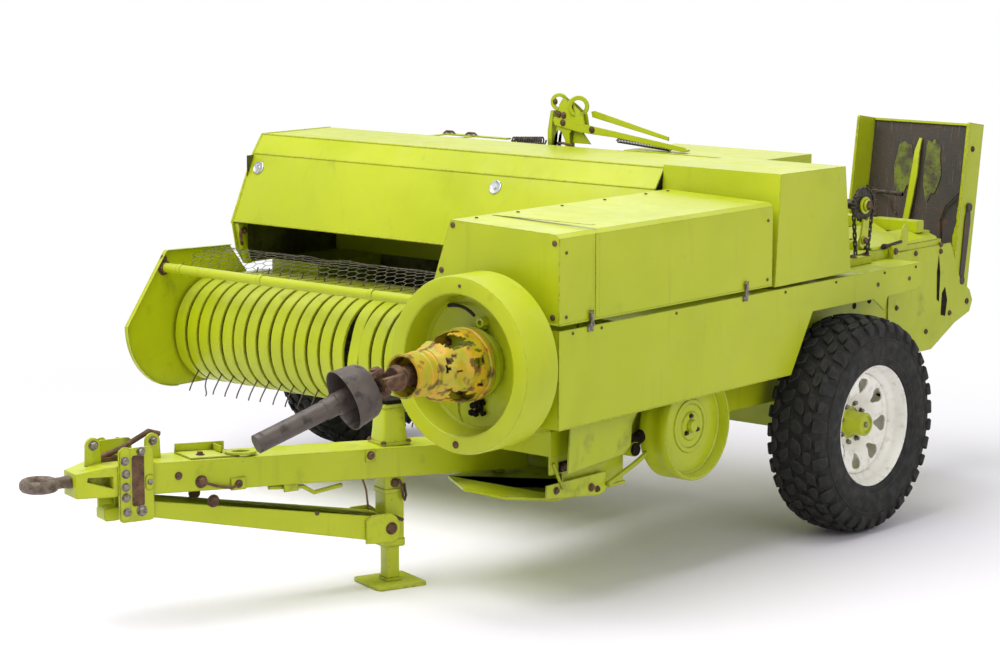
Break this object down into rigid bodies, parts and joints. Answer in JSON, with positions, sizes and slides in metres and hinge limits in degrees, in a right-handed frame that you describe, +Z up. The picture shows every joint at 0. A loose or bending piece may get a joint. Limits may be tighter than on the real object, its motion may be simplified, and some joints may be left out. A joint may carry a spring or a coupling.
{
  "type": "square baler",
  "caption": "Small towed square baler: offset drawbar with jack, flywheel drive, spring-tine pickup, feeder hood, bale chamber, folded bale chute and two road wheels.",
  "frame": {"origin": "middle of the machine's outer box, on the ground", "axes": "+X to the machine's left, +Y to its rear, +Z up"},
  "size_m": [2.535, 3.872, 1.437],
  "materials": {
    "green_paint": "worn gloss lime-green enamel with dust and a little rust",
    "white_paint": "off-white wheel enamel",
    "tyre_rubber": "mud-terrain tread rubber",
    "bare_steel": "bare steel, dulled",
    "rusty_steel": "brown rust",
    "yellow_plastic": "torn, faded guard plastic",
    "brown_plastic": "dirty dark plastic"
  },
  "bodies": {
    "root": {"main_frame": "green_paint", "axle_beam": "green_paint", "bale_chamber": "green_paint", "chute_carrier_right": "green_paint", "chute_carrier_left": "green_paint", "feeder_pan": "green_paint", "feeder_hood": "green_paint", "feeder_end_wall": "green_paint", "knotter_cover": "green_paint", "lower_side_panel": "green_paint", "front_panel": "green_paint", "gearbox": "bare_steel", "pto_guard_cone": "yellow_plastic", "pto_inner_joint": "rusty_steel", "pto_outer_joint": "rusty_steel", "pto_bell_guard": "brown_plastic", "pto_tube": "brown_plastic", "knotter_bracket_right": "green_paint", "knotter_bracket_left": "green_paint", "knotter_guard": "green_paint", "knotter_shaft": "bare_steel", "tension_rail_right": "green_paint", "tension_rail_left": "green_paint", "tension_crossbar": "green_paint", "tension_spindle": "bare_steel", "needle_yoke": "green_paint", "lever_beam": "green_paint", "feeder_lever": "green_paint", "feeder_arm": "green_paint", "feeder_spring": "rusty_steel"},
    "side_cover": {"side_cover": "green_paint"},
    "flywheel": {"flywheel": "green_paint", "flywheel_boss": "green_paint"},
    "drive_pulley": {"drive_pulley": "green_paint"},
    "drawbar": {"drawbar_beam": "green_paint", "drawbar_stay": "green_paint", "hitch_cheek_left": "green_paint", "hitch_cheek_right": "green_paint", "hitch_head": "green_paint", "tow_eye": "rusty_steel", "jack_tube": "green_paint"},
    "jack": {"jack_leg": "bare_steel", "jack_foot": "green_paint"},
    "pickup": {"pickup_right_plate": "green_paint", "pickup_left_plate": "green_paint", "pickup_bands": "green_paint", "pickup_front_bar": "green_paint"},
    "tine_reel": {"tine_reel": "bare_steel", "tine_bar_1": "bare_steel", "tine_bar_2": "bare_steel", "tine_bar_3": "bare_steel", "tine_bar_4": "bare_steel"},
    "left_wheel": {"left_tyre": "tyre_rubber", "left_wheel_rim": "white_paint", "left_hub": "green_paint"},
    "right_wheel": {"right_tyre": "tyre_rubber", "right_wheel_rim": "white_paint", "right_hub": "green_paint"},
    "bale_chute": {"bale_chute": "rusty_steel", "chute_brace": "green_paint"}
  },
  "joints": [
    {"name": "side_cover_lift", "type": "hinge", "parent": "root", "child": "side_cover", "pos_m": [0.7055, -0.19574, 1.19], "axis": [0, -1, 0], "range_deg": [0, 75]},
    {"name": "flywheel_spin", "type": "hinge", "parent": "root", "child": "flywheel", "pos_m": [0.9205, -0.94924, 0.782], "axis": [0, -1, 0], "continuous": true},
    {"name": "pulley_spin", "type": "hinge", "parent": "root", "child": "drive_pulley", "pos_m": [1.0735, -0.01024, 0.481], "axis": [1, 0, 0], "continuous": true},
    {"name": "drawbar_swing", "type": "hinge", "parent": "root", "child": "drawbar", "pos_m": [0.5865, -0.36724, 0.388], "axis": [0, 0, 1], "range_deg": [0, 20]},
    {"name": "jack_extend", "type": "slide", "parent": "drawbar", "child": "jack", "axis": [0, 0, 1], "range_m": [0, 0.1]},
    {"name": "pickup_lower", "type": "hinge", "parent": "root", "child": "pickup", "pos_m": [0.1505, 0.41576, 0.5], "axis": [1, 0, 0], "range_deg": [0, 20]},
    {"name": "reel_spin", "type": "hinge", "parent": "pickup", "child": "tine_reel", "pos_m": [0.1505, 0.13576, 0.545], "axis": [1, 0, 0], "continuous": true},
    {"name": "left_wheel_spin", "type": "hinge", "parent": "root", "child": "left_wheel", "pos_m": [1.1555, 0.83576, 0.375], "axis": [1, 0, 0], "continuous": true},
    {"name": "right_wheel_spin", "type": "hinge", "parent": "root", "child": "right_wheel", "pos_m": [-1.1495, 0.83576, 0.375], "axis": [1, 0, 0], "continuous": true},
    {"name": "chute_lower", "type": "hinge", "parent": "root", "child": "bale_chute", "pos_m": [0.7655, 1.81576, 0.67], "axis": [-1, 0, 0], "range_deg": [0, 88]}
  ]
}
